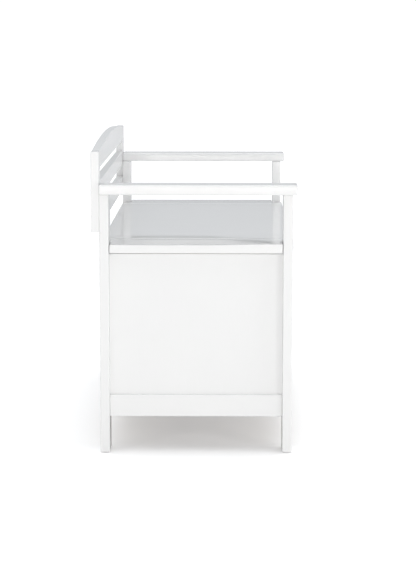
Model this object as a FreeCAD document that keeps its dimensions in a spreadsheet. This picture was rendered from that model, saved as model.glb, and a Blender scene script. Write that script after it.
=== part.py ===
import FreeCAD, Part
import os
import re

import Sketcher

# Entryway bench: a painted wooden storage seat with arms, a slatted back and a hinged lid.
# Millimetres. +X is along the seat, +Y points to the back, +Z is up.
# The origin is on the floor, under the middle of the bench's overall box.

FreeCAD.newDocument("EntrywayBench")
doc = FreeCAD.ActiveDocument
os.makedirs("parts", exist_ok=True)

# Driving dimensions: every size below is worked out from these cells.
SIZES = {
    "length_over_arms": 1067, "depth_over_all": 455, "seat_height": 471, "seat_thick": 21,
    "leg_width": 64, "leg_thick": 21, "leg_edge_round": 1.5, "glide_thick": 2, "glide_radius": 8,
    "arm_top_height": 602, "arm_thick": 22, "arm_width": 66, "arm_side_overhang": 11.5,
    "arm_front_overhang": 10, "arm_edge_round": 2.5,
    "back_thick": 18, "stile_width": 50, "stile_foot": 497, "stile_top": 674, "arch_rise": 17,
    "top_rail_foot": 636.5, "middle_rail_foot": 571.5, "middle_rail_top": 607.5,
    "bottom_rail_foot": 504, "bottom_rail_top": 539, "tenon_length": 12, "tenon_thick": 8,
    "tenon_shoulder": 5, "board_edge_round": 1.2,
    "box_foot": 82, "low_rail_height": 49, "side_rail_inset": 9, "side_rail_thick": 21,
    "panel_inset": 18, "side_panel_thick": 12, "panel_tongue": 6, "panel_gap": 3,
    "rail_thick": 18, "front_rail_inset": 2, "front_rail_top": 447.5, "high_rail_foot": 411.5,
    "centre_stile_width": 50, "thin_panel_thick": 9, "thin_panel_inset": 7.5,
    "back_panel_inset": 5.5, "back_rail_inset": 1, "back_rail_top": 449.5,
    "floor_foot": 100, "floor_thick": 9, "floor_side_clear": 0.5, "cleat_size": 20,
    "end_board_width": 114, "lid_gap": 2, "notch_gap": 1.2, "seat_front_overhang": 4,
    "seat_rear_inset": 1, "seat_edge_round": 2,
    "batten_offset": 230, "batten_width": 50, "batten_thick": 15, "batten_length": 330,
    "batten_front_clear": 17, "bumper_radius": 5, "bumper_thick": 2.2, "bumper_offset": 300,
    "hinge_spacing": 270, "hinge_length": 60, "pin_radius": 1.5, "pin_play": 0.05,
    "pin_grip": 0.02, "pin_rise": 3, "barrel_radius": 3.25, "barrel_clear": 0.3,
    "knuckle_half": 9.7, "knuckle_play": 0.3, "leaf_thick": 1.6, "leaf_clear": 3.7, "leaf_tab": 1.5,
    "fixed_leaf_reach": 19.5, "lid_leaf_reach": 14.5, "lid_rear_play": 0.4,
    "fixed_screw_drop": 11.6, "lid_screw_rise": 9.1,
    "dowel_radius": 4, "dowel_play": 0.1, "bolt_radius": 3, "bolt_head_radius": 6,
    "bolt_head_thick": 3, "bolt_reach": 15, "bolt_head_sink": 0.2, "low_bolt_height": 518,
    "high_bolt_height": 560, "screw_radius": 1.75, "screw_length": 12, "overcut": 1,
}

# Places that follow from the driving dimensions, as expressions on the sheet's names.
DERIVED = {
    "half_depth": "depth_over_all / 2",
    "arm_outer": "length_over_arms / 2",
    "arm_inner": "arm_outer - arm_width",
    "leg_outer": "arm_outer - arm_side_overhang",
    "leg_inner": "leg_outer - leg_width",
    "leg_middle": "leg_outer - leg_width / 2",
    "leg_top": "arm_top_height - arm_thick",
    "leg_front": "-half_depth + arm_front_overhang",
    "leg_rear": "half_depth - back_thick",
    "front_leg_back": "leg_front + leg_thick",
    "rear_leg_front": "leg_rear - leg_thick",
    "between_legs": "rear_leg_front - front_leg_back",
    "low_rail_top": "box_foot + low_rail_height",
    "seat_foot": "seat_height - seat_thick",
    "seat_front": "leg_front - seat_front_overhang",
    "seat_rear": "leg_rear - seat_rear_inset",
    "seat_depth": "seat_rear - seat_front",
    "end_inner": "leg_outer - end_board_width",
    "lid_half": "end_inner - lid_gap",
    "lid_rear": "seat_rear - lid_rear_play",
    "pin_line": "seat_rear + barrel_clear + barrel_radius",
    "pin_height": "seat_foot + pin_rise",
    "panel_outer": "leg_outer - panel_inset",
    "panel_inner": "panel_outer - side_panel_thick",
    "side_rail_outer": "leg_outer - side_rail_inset",
    "side_rail_inner": "side_rail_outer - side_rail_thick",
    "panel_foot": "low_rail_top - panel_tongue",
    "panel_top": "seat_foot - panel_gap",
    "front_rail_front": "leg_front + front_rail_inset",
    "front_rail_back": "front_rail_front + rail_thick",
    "front_panel_front": "leg_front + thin_panel_inset",
    "back_rail_back": "leg_rear - back_rail_inset",
    "back_rail_front": "back_rail_back - rail_thick",
    "back_panel_front": "leg_rear - back_panel_inset - thin_panel_thick",
    "thin_panel_top": "high_rail_foot + panel_tongue",
    "thin_panel_height": "thin_panel_top - panel_foot",
    "back_rail_half": "leg_outer - stile_width",
    "batten_front": "front_rail_back + batten_front_clear",
    "cleat_foot": "seat_foot - cleat_size",
}
SIDES = (("left", -1), ("right", 1))

sheet = doc.addObject("Spreadsheet::Sheet", "Sizes")
for row, (alias, number) in enumerate(SIZES.items(), start=1):
    sheet.set("A%d" % row, alias)
    sheet.set("B%d" % row, str(number))
    sheet.setAlias("B%d" % row, alias)
doc.recompute()

sub_parts = []
body_lows = {}


def expand(text):
    """Turn named sizes and derived places into one expression on the sheet."""
    def name(match):
        word = match.group(0)
        if word in DERIVED:
            return "(" + expand(DERIVED[word]) + ")"
        return "Sizes." + word if word in SIZES else word
    return re.sub(r"[a-z_]{3,}", name, str(text))


def bind(item, path, text):
    item.setExpression(path, expand(text))


def bind_base(item, place):
    for axis, text in zip("xyz", place):
        bind(item, ".Placement.Base." + axis, text)


def mirrored(sign, low, high):
    """Lowest X of a stretch from low to high, given for the right side, on either side."""
    return low if sign > 0 else "-(%s)" % high


def origin_plane(body, role):
    return next(item for item in body.Origin.OriginFeatures if item.Role == role)


def new_body(label, low):
    body = doc.addObject("PartDesign::Body", label)
    body.Label = label
    bind_base(body, low)
    sub_parts.append(body)
    return body


def new_sketch(body, name, role):
    sketch = body.newObject("Sketcher::SketchObject", name)
    sketch.AttachmentSupport = [(origin_plane(body, role), "")]
    sketch.MapMode = "FlatFace"
    return sketch


def corner(x, y):
    return FreeCAD.Vector(x, y, 0)


def round_edges(body, edges, radius, label):
    """Round the chosen edges of the body's last feature."""
    base = body.Tip
    names = ["Edge%d" % (i + 1) for i, edge in enumerate(base.Shape.Edges) if edges(edge)]
    if not names:
        raise RuntimeError("no edges to round on " + label)
    fillet = body.newObject("PartDesign::Fillet", label + "_round")
    fillet.Base = (base, names)
    bind(fillet, "Radius", radius)
    doc.recompute()
    return fillet


def straight_along(axis):
    """A test for edges that run along one axis: 0 for X, 1 for Y, 2 for Z."""
    def test(edge):
        ends = edge.Vertexes
        if len(ends) < 2:
            return False
        step = ends[1].Point - ends[0].Point
        return abs(abs(step[axis]) - step.Length) < 1e-6
    return test


def any_edge(edge):
    return True


def board(label, low, size, rounded=None, radius="board_edge_round"):
    """A board as a padded rectangle: low is its lowest corner and size its three sides."""
    body = new_body(label, low)
    sketch = new_sketch(body, label + "_outline", "XY_Plane")
    ends = [corner(0, 0), corner(10, 0), corner(10, 10), corner(0, 10)]
    for i in range(4):
        sketch.addGeometry(Part.LineSegment(ends[i], ends[(i + 1) % 4]), False)
    for i in range(4):
        sketch.addConstraint(Sketcher.Constraint("Coincident", i, 2, (i + 1) % 4, 1))
    for i in (0, 2):
        sketch.addConstraint(Sketcher.Constraint("Horizontal", i))
        sketch.addConstraint(Sketcher.Constraint("Vertical", i + 1))
    sketch.addConstraint(Sketcher.Constraint("Coincident", 0, 1, -1, 1))
    wide = sketch.addConstraint(Sketcher.Constraint("DistanceX", 0, 1, 0, 2, 10))
    deep = sketch.addConstraint(Sketcher.Constraint("DistanceY", 1, 1, 1, 2, 10))
    bind(sketch, "Constraints[%d]" % wide, size[0])
    bind(sketch, "Constraints[%d]" % deep, size[1])
    pad = body.newObject("PartDesign::Pad", label + "_pad")
    pad.Profile = sketch
    bind(pad, "Length", size[2])
    doc.recompute()
    if rounded is not None:
        round_edges(body, rounded, radius, label)
    body_lows[label] = low
    return body


def inside(body, place):
    """A place in the bench's frame, as expressions in the body's own frame."""
    return ["(%s) - (%s)" % (there, low) for there, low in zip(place, body_lows[body.Label])]


def box_feature(body, kind, name, low, size):
    feature = body.newObject("PartDesign::%sBox" % kind, name)
    for side, text in zip(("Length", "Width", "Height"), size):
        bind(feature, side, text)
    bind_base(feature, inside(body, low))
    return feature


def cut_box(body, name, low, size):
    return box_feature(body, "Subtractive", name, low, size)


def add_box(body, name, low, size):
    return box_feature(body, "Additive", name, low, size)


TURNS = {
    "x": FreeCAD.Rotation(FreeCAD.Vector(0, 1, 0), 90),
    "y": FreeCAD.Rotation(FreeCAD.Vector(1, 0, 0), -90),
    "z": FreeCAD.Rotation(),
}


def bore(body, name, start, axis, radius, length):
    """A round hole from a start point along +axis."""
    hole = body.newObject("PartDesign::SubtractiveCylinder", name)
    bind(hole, "Radius", radius)
    bind(hole, "Height", length)
    hole.Placement = FreeCAD.Placement(FreeCAD.Vector(), TURNS[axis])
    bind_base(hole, inside(body, start))
    return hole


def rod(name, start, axis, radius, length):
    """A round bar from a start point along +axis, as one solid of a group."""
    bar = doc.addObject("Part::Cylinder", name)
    bind(bar, "Radius", radius)
    bind(bar, "Height", length)
    bar.Placement = FreeCAD.Placement(FreeCAD.Vector(), TURNS[axis])
    bind_base(bar, start)
    return bar


def group(label, members):
    """Identical fasteners share one node, as separate solids."""
    bundle = doc.addObject("Part::Compound", label)
    bundle.Links = members
    bundle.Label = label
    sub_parts.append(bundle)
    return bundle


# Legs: four flat boards, broad side outwards, standing on thin glides.
legs = {}
for side, sign in SIDES:
    for place, low_y in (("front", "leg_front"), ("rear", "rear_leg_front")):
        label = "leg_%s_%s" % (place, side)
        low = (mirrored(sign, "leg_inner", "leg_outer"), low_y, "glide_thick")
        legs[place, side] = board(label, low, ("leg_width", "leg_thick", "leg_top - glide_thick"),
                                  straight_along(2), "leg_edge_round")
        glide = rod("foot_glide_%s_%s" % (place, side),
                    ("%d * leg_middle" % sign, low_y + " + leg_thick / 2", "0"),
                    "z", "glide_radius", "glide_thick")
        sub_parts.append(glide)

# Arms: one board along each end, on top of both legs.
arms = {}
for side, sign in SIDES:
    low = (mirrored(sign, "arm_inner", "arm_outer"), "-half_depth", "leg_top")
    arms[side] = board("arm_" + side, low, ("arm_width", "leg_rear + half_depth", "arm_thick"),
                       any_edge, "arm_edge_round")

# Two dowels tie each leg to its arm.
DOWEL_IN_LEG, DOWEL_IN_ARM, ARM_DOWEL_SPREAD = 20, 14, 16
arm_dowels = []
for (place, side), leg in legs.items():
    sign = dict(SIDES)[side]
    middle_y = "leg_front + leg_thick / 2" if place == "front" else "leg_rear - leg_thick / 2"
    for offset in (-ARM_DOWEL_SPREAD, ARM_DOWEL_SPREAD):
        x = "%d * leg_middle + %d" % (sign, offset)
        name = "arm_dowel_%d" % len(arm_dowels)
        start = (x, middle_y, "leg_top - %d" % DOWEL_IN_LEG)
        length = "%d" % (DOWEL_IN_LEG + DOWEL_IN_ARM)
        arm_dowels.append(rod(name, start, "z", "dowel_radius", length))
        bore(leg, name + "_leg_hole", (x, middle_y, start[2] + " - overcut"),
             "z", "dowel_radius + dowel_play", "%d + 2 * overcut" % DOWEL_IN_LEG)
        bore(arms[side], name + "_arm_hole", (x, middle_y, "leg_top - overcut"),
             "z", "dowel_radius + dowel_play", "%d + 2 * overcut" % DOWEL_IN_ARM)
group("arm_dowels", arm_dowels)

# Back frame: two stiles bolted behind the rear legs, with three rails tenoned into them.
RAILS = (("back_bottom_rail", "bottom_rail_foot", "bottom_rail_top"),
         ("back_middle_rail", "middle_rail_foot", "middle_rail_top"))
TENONS = RAILS + (("back_top_rail", "top_rail_foot", "stile_top"),)
stiles = {}
for side, sign in SIDES:
    low = (mirrored(sign, "back_rail_half", "leg_outer"), "leg_rear", "stile_foot")
    stiles[side] = board("back_stile_" + side, low,
                         ("stile_width", "back_thick", "stile_top - stile_foot"),
                         straight_along(2))


def tenon_box(sign, foot, top):
    low_x = mirrored(sign, "back_rail_half", "back_rail_half + tenon_length")
    low = (low_x, "leg_rear + (back_thick - tenon_thick) / 2", foot + " + tenon_shoulder")
    return low, ("tenon_length", "tenon_thick", "%s - %s - 2 * tenon_shoulder" % (top, foot))


back_rails = {}
for label, foot, top in RAILS:
    back_rails[label] = board(label, ("-back_rail_half", "leg_rear", foot),
                              ("2 * back_rail_half", "back_thick", "%s - %s" % (top, foot)),
                              straight_along(0))

# The top rail's upper edge is one shallow arc, level with the stiles at its ends.
top_rail_low = ("0", "leg_rear", "top_rail_foot")
top_rail = new_body("back_top_rail", top_rail_low)
body_lows["back_top_rail"] = top_rail_low
outline = new_sketch(top_rail, "back_top_rail_outline", "XZ_Plane")
HALF, END_HEIGHT, RISE = 470.0, 40.0, 15.0
outline.addGeometry(Part.LineSegment(corner(-HALF, 0), corner(HALF, 0)), False)
outline.addGeometry(Part.LineSegment(corner(HALF, 0), corner(HALF, END_HEIGHT)), False)
arc = Part.Arc(corner(HALF, END_HEIGHT), corner(0, END_HEIGHT + RISE), corner(-HALF, END_HEIGHT))
outline.addGeometry(arc, False)
outline.addGeometry(Part.LineSegment(corner(-HALF, END_HEIGHT), corner(-HALF, 0)), False)
arc_starts_right = outline.Geometry[2].StartPoint.x > 0
arc_right, arc_left = (1, 2) if arc_starts_right else (2, 1)
outline.addConstraint(Sketcher.Constraint("Coincident", 0, 2, 1, 1))
outline.addConstraint(Sketcher.Constraint("Coincident", 1, 2, 2, arc_right))
outline.addConstraint(Sketcher.Constraint("Coincident", 2, arc_left, 3, 1))
outline.addConstraint(Sketcher.Constraint("Coincident", 3, 2, 0, 1))
outline.addConstraint(Sketcher.Constraint("Horizontal", 0))
outline.addConstraint(Sketcher.Constraint("Vertical", 1))
outline.addConstraint(Sketcher.Constraint("Vertical", 3))
outline.addConstraint(Sketcher.Constraint("Symmetric", 0, 1, 0, 2, -1, 1))
outline.addConstraint(Sketcher.Constraint("Equal", 1, 3))
rail_length = outline.addConstraint(Sketcher.Constraint("DistanceX", 0, 1, 0, 2, 2 * HALF))
rail_height = outline.addConstraint(Sketcher.Constraint("DistanceY", 1, 1, 1, 2, END_HEIGHT))
arc_radius = outline.addConstraint(Sketcher.Constraint("Radius", 2, outline.Geometry[2].Radius))
bind(outline, "Constraints[%d]" % rail_length, "2 * back_rail_half")
bind(outline, "Constraints[%d]" % rail_height, "stile_top - top_rail_foot")
bind(outline, "Constraints[%d]" % arc_radius,
     "(back_rail_half * back_rail_half + arch_rise * arch_rise) / (2 * arch_rise)")
top_pad = top_rail.newObject("PartDesign::Pad", "back_top_rail_pad")
top_pad.Profile = outline
bind(top_pad, "Length", "back_thick")
top_pad.Reversed = True
doc.recompute()
round_edges(top_rail, lambda edge: edge.BoundBox.XLength > HALF, "board_edge_round", "back_top_rail")
back_rails["back_top_rail"] = top_rail

for label, foot, top in TENONS:
    for side, sign in SIDES:
        low, size = tenon_box(sign, foot, top)
        add_box(back_rails[label], "%s_tenon_%s" % (label, side), low, size)
        cut_box(stiles[side], "%s_mortise_%s" % (label, side), low, size)

# Two bolts with sunk heads hold each stile to its rear leg.
bolts = []
head_low = "half_depth - bolt_head_thick - bolt_head_sink"
for side, sign in SIDES:
    for height in ("low_bolt_height", "high_bolt_height"):
        x = "%d * (leg_outer - stile_width / 2)" % sign
        name = "back_bolt_%d" % len(bolts)
        shank = rod(name + "_shank", (x, "leg_rear - bolt_reach", height), "y", "bolt_radius",
                    head_low + " - leg_rear + bolt_reach")
        head = rod(name + "_head", (x, head_low, height), "y", "bolt_head_radius",
                   "bolt_head_thick")
        bolt = doc.addObject("Part::Fuse", name)
        bolt.Base = shank
        bolt.Tool = head
        bolts.append(bolt)
        bore(stiles[side], name + "_stile_hole", (x, "leg_rear - overcut", height), "y",
             "bolt_radius + dowel_play", "back_thick + 2 * overcut")
        bore(stiles[side], name + "_head_seat", (x, head_low, height), "y",
             "bolt_head_radius + dowel_play", "bolt_head_thick + 2 * overcut")
        bore(legs["rear", side], name + "_leg_hole", (x, "leg_rear - bolt_reach - overcut", height),
             "y", "bolt_radius + dowel_play", "bolt_reach + 2 * overcut")
group("back_frame_bolts", bolts)

# Ends of the box: a low rail and a thin panel let into the legs and the rail.
side_rails = {}
for side, sign in SIDES:
    panel_low = (mirrored(sign, "panel_inner", "panel_outer"),
                 "front_leg_back - panel_tongue", "panel_foot")
    panel_size = ("side_panel_thick", "between_legs + 2 * panel_tongue", "panel_top - panel_foot")
    board("side_panel_" + side, panel_low, panel_size)
    rail_low = (mirrored(sign, "side_rail_inner", "side_rail_outer"), "front_leg_back", "box_foot")
    rail = board("side_bottom_rail_" + side, rail_low,
                 ("side_rail_thick", "between_legs", "low_rail_height"), straight_along(1))
    side_rails[side] = rail
    for holder in (rail, legs["front", side], legs["rear", side]):
        cut_box(holder, holder.Label + "_panel_groove", panel_low, panel_size)
    board("side_top_cleat_" + side,
          (mirrored(sign, "panel_inner - cleat_size", "panel_inner"),
           "front_leg_back + cleat_size", "cleat_foot"),
          ("cleat_size", "between_legs - 2 * cleat_size", "cleat_size"))

# Front and rear of the box: rails between the legs, with thin panels in grooves.
front_bottom = board("front_bottom_rail", ("-leg_inner", "front_rail_front", "box_foot"),
                     ("2 * leg_inner", "rail_thick", "low_rail_height"), straight_along(0))
front_top = board("front_top_rail", ("-leg_inner", "front_rail_front", "high_rail_foot"),
                  ("2 * leg_inner", "rail_thick", "front_rail_top - high_rail_foot"),
                  straight_along(0))
centre_stile = board("front_centre_stile",
                     ("-centre_stile_width / 2", "front_rail_front", "low_rail_top"),
                     ("centre_stile_width", "rail_thick", "high_rail_foot - low_rail_top"),
                     straight_along(2))
for side, sign in SIDES:
    panel_low = (mirrored(sign, "centre_stile_width / 2 - panel_tongue", "leg_inner + panel_tongue"),
                 "front_panel_front", "panel_foot")
    panel_size = ("leg_inner + 2 * panel_tongue - centre_stile_width / 2", "thin_panel_thick",
                  "thin_panel_height")
    board("front_panel_" + side, panel_low, panel_size)
    for holder in (front_bottom, front_top, centre_stile, legs["front", side]):
        cut_box(holder, "%s_groove_%s" % (holder.Label, side), panel_low, panel_size)

back_bottom = board("box_back_bottom_rail", ("-leg_inner", "back_rail_front", "box_foot"),
                    ("2 * leg_inner", "rail_thick", "low_rail_height"), straight_along(0))
back_top = board("box_back_top_rail", ("-leg_inner", "back_rail_front", "high_rail_foot"),
                 ("2 * leg_inner", "rail_thick", "back_rail_top - high_rail_foot"),
                 straight_along(0))
panel_low = ("-leg_inner - panel_tongue", "back_panel_front", "panel_foot")
panel_size = ("2 * leg_inner + 2 * panel_tongue", "thin_panel_thick", "thin_panel_height")
board("box_back_panel", panel_low, panel_size)
for holder in (back_bottom, back_top, legs["rear", "left"], legs["rear", "right"]):
    cut_box(holder, holder.Label + "_back_groove", panel_low, panel_size)

# Floor of the box, on two cleats.
board("box_floor",
      ("-side_rail_inner + floor_side_clear", "front_leg_back + floor_side_clear", "floor_foot"),
      ("2 * side_rail_inner - 2 * floor_side_clear", "between_legs - 2 * floor_side_clear",
       "floor_thick"))
for place, low_y in (("front", "front_rail_back"), ("rear", "back_rail_front - cleat_size")):
    board("floor_cleat_" + place, ("-leg_inner + cleat_size", low_y, "box_foot"),
          ("2 * leg_inner - 2 * cleat_size", "cleat_size", "floor_foot - box_foot"))

# Dowels between the rails and the legs, two at each joint.
LOW_DOWELS, HIGH_DOWELS = (96, 117), (424, 440)
LEG_DEPTH_LONG, LEG_DEPTH_SHORT, RAIL_DEPTH = 18, 10, 20
rail_dowels = []


def rail_dowel(leg, rail, axis, at, leg_depth, sign):
    """One dowel across a joint face. The leg lies towards sign along the axis."""
    name = "rail_dowel_%d" % len(rail_dowels)
    into_low, into_high = (RAIL_DEPTH, leg_depth) if sign > 0 else (leg_depth, RAIL_DEPTH)
    start = [("(%s) - %d" % (text, into_low)) if letter == axis else text
             for letter, text in zip("xyz", at)]
    early = [text + " - overcut" if letter == axis else text
             for letter, text in zip("xyz", start)]
    rail_dowels.append(rod(name, start, axis, "dowel_radius", "%d" % (into_low + into_high)))
    for holder in (leg, rail):
        bore(holder, "%s_%s" % (name, holder.Label), early, axis, "dowel_radius + dowel_play",
             "%d + 2 * overcut" % (into_low + into_high))


for side, sign in SIDES:
    joint_x = "%d * leg_inner" % sign
    for rail, leg_place, y, heights in (
            (front_bottom, "front", "front_rail_front + rail_thick / 2", LOW_DOWELS),
            (front_top, "front", "front_rail_front + rail_thick / 2", HIGH_DOWELS),
            (back_bottom, "rear", "back_rail_front + rail_thick / 2", LOW_DOWELS),
            (back_top, "rear", "back_rail_front + rail_thick / 2", HIGH_DOWELS)):
        for height in heights:
            rail_dowel(legs[leg_place, side], rail, "x", (joint_x, y, str(height)),
                       LEG_DEPTH_LONG, sign)
    rail_x = "%d * (side_rail_inner + side_rail_thick / 2)" % sign
    for leg_place, joint_y, y_sign in (("front", "front_leg_back", -1), ("rear", "rear_leg_front", 1)):
        for height in LOW_DOWELS:
            rail_dowel(legs[leg_place, side], side_rails[side], "y", (rail_x, joint_y, str(height)),
                       LEG_DEPTH_SHORT, y_sign)
group("rail_dowels", rail_dowels)

# Seat: fixed end boards notched round the legs, and the lid between them.
end_boards = {}
for side, sign in SIDES:
    end_low = (mirrored(sign, "end_inner", "leg_outer"), "seat_front", "seat_foot")
    end = board("seat_end_" + side, end_low, ("end_board_width", "seat_depth", "seat_thick"),
                any_edge, "seat_edge_round")
    notch_x = mirrored(sign, "leg_inner - notch_gap", "leg_outer + overcut")
    notch_wide = "leg_width + notch_gap + overcut"
    notch_foot, notch_high = "seat_foot - overcut", "seat_thick + 2 * overcut"
    cut_box(end, "front_notch_" + side, (notch_x, "seat_front - overcut", notch_foot),
            (notch_wide, "front_leg_back + notch_gap - seat_front + overcut", notch_high))
    cut_box(end, "rear_notch_" + side, (notch_x, "rear_leg_front - notch_gap", notch_foot),
            (notch_wide, "seat_rear - rear_leg_front + notch_gap + overcut", notch_high))
    end_boards[side] = end
lid = board("seat_lid", ("-lid_half", "seat_front", "seat_foot"),
            ("2 * lid_half", "lid_rear - seat_front", "seat_thick"), any_edge, "seat_edge_round")
battens = {}
for side, sign in SIDES:
    batten_x = "%d * batten_offset - batten_width / 2" % sign
    battens[side] = board("lid_batten_" + side, (batten_x, "batten_front", "seat_foot - batten_thick"),
                          ("batten_width", "batten_length", "batten_thick"), straight_along(1))

# Screws that hold the battens to the lid and the end boards to their cleats.
SCREW_STEPS = (0.12, 0.5, 0.88)
SCREW_INTO_SEAT = 12


def upward_screws(label, plans):
    """Screws driven up through a holder into the seat: (x, y expression, low z, holder, board)."""
    screws = []
    for x, y, low_z, holder, top_board in plans:
        name = "%s_%d" % (label, len(screws))
        length = "seat_foot - (%s) + %d" % (low_z, SCREW_INTO_SEAT)
        screws.append(rod(name, (x, y, low_z), "z", "screw_radius", length))
        for piece in (holder, top_board):
            bore(piece, "%s_%s" % (name, piece.Label), (x, y, "(%s) - overcut" % low_z), "z",
                 "screw_radius + dowel_play", length + " + 2 * overcut")
    group(label, screws)


upward_screws("batten_screws", [
    ("%d * batten_offset" % sign, "batten_front + %s * batten_length" % step,
     "seat_foot - batten_thick", battens[side], lid)
    for side, sign in SIDES for step in SCREW_STEPS])
cleats = {side: doc.getObject("side_top_cleat_" + side) for side, sign in SIDES}
upward_screws("end_board_screws", [
    ("%d * (panel_inner - cleat_size / 2)" % sign,
     "front_leg_back + cleat_size + %s * (between_legs - 2 * cleat_size)" % step,
     "cleat_foot", cleats[side], end_boards[side])
    for side, sign in SIDES for step in SCREW_STEPS])

# Soft bumpers on the front rail, under the lid's front edge.
group("lid_bumpers", [
    rod("lid_bumper_" + side, ("%d * bumper_offset" % sign, "front_rail_front + rail_thick / 2",
                               "front_rail_top"), "z", "bumper_radius", "bumper_thick")
    for side, sign in SIDES])

# Butt hinges behind the seat: one leaf on the rear rail of the box, one on the lid's rear edge.
HINGES = (("left", -1), ("middle", 0), ("right", 1))
LEAF_SCREW_STEPS = (-20, 0, 20)
LEAVES = {
    "fixed": {"holder": back_top, "face": "seat_rear", "screw_height": "pin_height - fixed_screw_drop",
              "plate": ("pin_height - fixed_leaf_reach", "fixed_leaf_reach - leaf_clear"),
              "tab": "pin_height - leaf_clear"},
    "lid": {"holder": lid, "face": "lid_rear", "screw_height": "pin_height + lid_screw_rise",
            "plate": ("pin_height + leaf_clear", "lid_leaf_reach - leaf_clear"),
            "tab": "pin_height + leaf_tab"},
}
OUTER_LENGTH = "hinge_length / 2 - knuckle_half - knuckle_play"
KNUCKLES = {
    "fixed": (("(-hinge_length / 2)", OUTER_LENGTH, "pin_grip"),
              ("(knuckle_half + knuckle_play)", OUTER_LENGTH, "pin_grip")),
    "lid": (("(-knuckle_half)", "2 * knuckle_half", "pin_play"),),
}


def hinge_leaf(label, centre_x, key):
    """A leaf: its plate, and the knuckles that stand on it, with one bore for the pin."""
    face = LEAVES[key]["face"]
    plate_low, plate_high = LEAVES[key]["plate"]
    leaf = board(label, (centre_x + " - hinge_length / 2", face, plate_low),
                 ("hinge_length", "leaf_thick", plate_high))
    for i, (start, length, play) in enumerate(KNUCKLES[key]):
        start_x = "%s + %s" % (centre_x, start)
        add_box(leaf, "%s_tab_%d" % (label, i), (start_x, face, LEAVES[key]["tab"]),
                (length, "leaf_thick", "leaf_clear - leaf_tab"))
        barrel = leaf.newObject("PartDesign::AdditiveCylinder", "%s_barrel_%d" % (label, i))
        bind(barrel, "Radius", "barrel_radius")
        bind(barrel, "Height", length)
        barrel.Placement = FreeCAD.Placement(FreeCAD.Vector(), TURNS["x"])
        bind_base(barrel, inside(leaf, (start_x, "pin_line", "pin_height")))
        bore(leaf, "%s_bore_%d" % (label, i), (start_x + " - overcut", "pin_line", "pin_height"),
             "x", "pin_radius + " + play, length + " + 2 * overcut")
    return leaf


def leaf_screws(leaf, place, centre_x, key):
    """Three screws through a leaf into its holder, from behind."""
    screws = []
    start_y = LEAVES[key]["face"] + " + leaf_thick - screw_length"
    for i, offset in enumerate(LEAF_SCREW_STEPS):
        name = "hinge_%s_screw_%s_%d" % (key, place, i)
        spot = ("%s + %d" % (centre_x, offset), start_y, LEAVES[key]["screw_height"])
        hole = (spot[0], start_y + " - overcut", spot[2])
        screws.append(rod(name, spot, "y", "screw_radius", "screw_length"))
        for piece in (LEAVES[key]["holder"], leaf):
            bore(piece, "%s_%s" % (name, piece.Label), hole, "y",
                 "screw_radius + dowel_play", "screw_length + 2 * overcut")
    return screws


screws_of = {"fixed": [], "lid": []}
for place, step in HINGES:
    centre_x = "%d * hinge_spacing" % step
    for key in LEAVES:
        leaf = hinge_leaf("hinge_%s_leaf_%s" % (key, place), centre_x, key)
        screws_of[key] += leaf_screws(leaf, place, centre_x, key)
    sub_parts.append(rod("hinge_pin_" + place, (centre_x + " - hinge_length / 2", "pin_line",
                                                "pin_height"), "x", "pin_radius", "hinge_length"))
for key, screws in screws_of.items():
    group("hinge_%s_screws" % key, screws)

doc.recompute()

# Check every object and every sub-part, then write one file for each.
for item in doc.Objects:
    if "Invalid" in item.State or "Error" in item.State:
        raise RuntimeError("%s failed: %s" % (item.Name, item.State))
for piece in sub_parts:
    shape = piece.Shape
    if shape.isNull() or not shape.isValid() or shape.Volume <= 0 or not shape.Solids:
        raise RuntimeError(piece.Label + " has no valid solid")
if len({piece.Label for piece in sub_parts}) != len(sub_parts):
    raise RuntimeError("two sub-parts share a name")
for piece in sub_parts:
    piece.Shape.exportStep(os.path.join("parts", piece.Label + ".step"))
    box = piece.Shape.BoundBox
    print("%-28s solids %2d  volume %9.0f  x %7.1f %7.1f  y %7.1f %7.1f  z %6.1f %6.1f" % (
        piece.Label, len(piece.Shape.Solids), piece.Shape.Volume,
        box.XMin, box.XMax, box.YMin, box.YMax, box.ZMin, box.ZMax))
print("sub-parts:", len(sub_parts))
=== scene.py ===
import math

import bmesh
import bpy
from mathutils import Matrix, Vector, noise


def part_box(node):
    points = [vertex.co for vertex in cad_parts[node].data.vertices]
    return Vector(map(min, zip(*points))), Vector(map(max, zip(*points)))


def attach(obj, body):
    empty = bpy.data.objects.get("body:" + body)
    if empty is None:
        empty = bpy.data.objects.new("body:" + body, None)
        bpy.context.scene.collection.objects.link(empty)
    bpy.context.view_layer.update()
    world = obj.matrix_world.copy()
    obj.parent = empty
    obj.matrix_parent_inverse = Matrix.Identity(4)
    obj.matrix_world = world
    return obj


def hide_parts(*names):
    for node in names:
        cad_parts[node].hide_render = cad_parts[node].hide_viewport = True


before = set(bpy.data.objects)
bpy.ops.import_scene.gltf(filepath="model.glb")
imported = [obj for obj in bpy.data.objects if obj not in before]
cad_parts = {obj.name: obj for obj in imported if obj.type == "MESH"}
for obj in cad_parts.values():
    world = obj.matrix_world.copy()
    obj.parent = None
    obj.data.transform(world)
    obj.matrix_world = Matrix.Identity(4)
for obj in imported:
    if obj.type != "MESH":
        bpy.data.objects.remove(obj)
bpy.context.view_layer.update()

# Entryway bench, white lacquered wood. Metres. +X along the seat, +Y to the back, +Z up.
MM = 0.001
X, Y, Z = 0, 1, 2
AXIS_NAMES = "xyz"
QUARTER = math.pi / 2
SIDES = ("left", "right")
ENDS = ("front", "rear")
BENCH, LID = "bench", "lid"

# ---------------------------------------------------------------- shader nodes


def new_material(name):
    """An empty node material: the material, its node tree and its output node."""
    material = bpy.data.materials.new(name)
    material.use_nodes = True
    tree = material.node_tree
    tree.nodes.clear()
    output = tree.nodes.new("ShaderNodeOutputMaterial")
    return material, tree, output


def add_node(tree, kind, **inputs):
    """A shader node with some of its input sockets set by name."""
    node = tree.nodes.new("ShaderNode" + kind)
    for key, value in inputs.items():
        node.inputs[key.replace("_", " ")].default_value = value
    return node


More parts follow.
